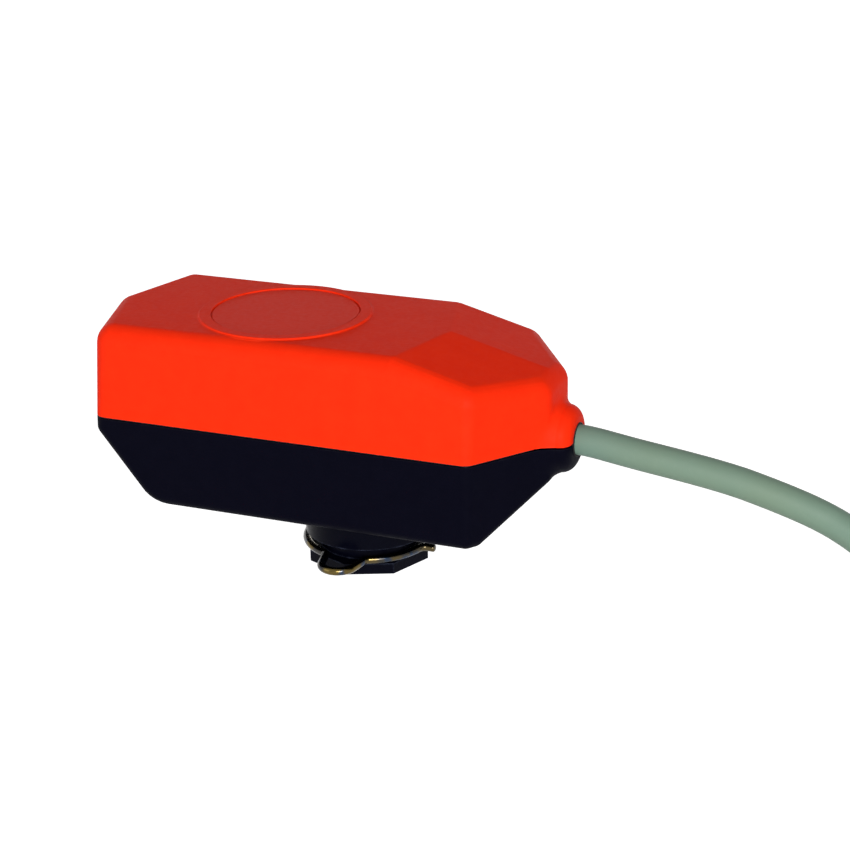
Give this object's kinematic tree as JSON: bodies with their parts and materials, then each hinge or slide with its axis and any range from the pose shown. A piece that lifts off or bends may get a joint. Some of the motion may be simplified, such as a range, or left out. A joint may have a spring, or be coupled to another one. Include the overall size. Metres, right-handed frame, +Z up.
{
  "type": "clip-on rotary valve actuator",
  "caption": "Two-part housing with a cable outlet, a clip-on collar with a wire clip, and a geared quarter-turn square-drive coupling.",
  "frame": {"origin": "on the output axis, at the foot of the collar", "axes": "+Z up along the output axis, +X towards the cable outlet"},
  "size_m": [0.2576, 0.0729, 0.0547],
  "materials": {
    "orange_shell": "fine spark-eroded grain, satin",
    "badge": "smooth satin, bare",
    "black_shell": "fine spark-eroded grain, satin",
    "seal_rubber": "matt",
    "collar_black": "polished",
    "screw_steel": "zinc plated",
    "spring_wire": "drawn, bright",
    "brass": "turned",
    "gear_plastic": "natural acetal",
    "plate_steel": "zinc plated sheet",
    "motor_can": "drawn can",
    "board_green": "solder resist",
    "component": "moulded",
    "terminal": "moulded",
    "cable_sheath": "smooth extruded sheath",
    "clamp_plastic": "moulded",
    "core": "extruded insulation",
    "tie": "coated wire tie",
    "ferrule": "tinned copper"
  },
  "bodies": {
    "housing": {"cover": "orange_shell", "badge_disc": "badge", "base": "black_shell", "parting_seal": "seal_rubber", "collar": "collar_black", "collar_screws": "screw_steel", "housing_screws": "screw_steel", "shaft_seal": "seal_rubber", "gear_pins": "screw_steel", "gear_plate": "plate_steel", "plate_screws": "screw_steel", "motor_body": "motor_can", "motor_screws": "screw_steel", "circuit_board": "board_green", "board_pillars": "screw_steel", "board_screws": "screw_steel", "board_parts": "component", "terminal_block": "terminal", "cable_entry": "cable_sheath", "cable_clamp": "clamp_plastic", "clamp_screws": "screw_steel", "inner_cores": "core", "motor_leads": "core", "cable": "cable_sheath", "cable_coil": "cable_sheath", "cable_tie": "tie", "cable_cores": "core", "cable_ferrules": "ferrule"},
    "output": {"output_coupling": "brass", "output_gear": "gear_plastic", "output_circlip": "spring_wire"},
    "second_wheel": {"second_gear": "gear_plastic"},
    "first_wheel": {"first_gear": "gear_plastic"},
    "rotor": {"motor_shaft": "screw_steel", "motor_pinion": "brass"},
    "clip": {"retaining_clip": "spring_wire"}
  },
  "joints": [
    {"name": "output_turn", "type": "hinge", "parent": "housing", "child": "output", "pos_m": [0, 0, 0.02], "axis": [0, 0, 1], "range_deg": [0, 90]},
    {"name": "second_turn", "type": "hinge", "parent": "housing", "child": "second_wheel", "pos_m": [-0.02, -0.0057, 0.02], "axis": [0, 0, 1], "range_deg": [-301, 1]},
    {"name": "first_turn", "type": "hinge", "parent": "housing", "child": "first_wheel", "pos_m": [-0.03322, 0.00002, 0.025], "axis": [0, 0, 1], "range_deg": [-1, 901]},
    {"name": "rotor_turn", "type": "hinge", "parent": "housing", "child": "rotor", "pos_m": [-0.01955, 0.00619, 0.03], "axis": [0, 0, 1], "range_deg": [-3601, 1]},
    {"name": "clip_press", "type": "slide", "parent": "housing", "child": "clip", "axis": [0, 1, 0], "range_m": [0, 0.0019], "stiffness_N_per_m": 2000}
  ],
  "couplings": [
    {"joint": "second_turn", "follows": "output_turn", "ratio": -3.3333},
    {"joint": "first_turn", "follows": "output_turn", "ratio": 10},
    {"joint": "rotor_turn", "follows": "output_turn", "ratio": -40}
  ]
}
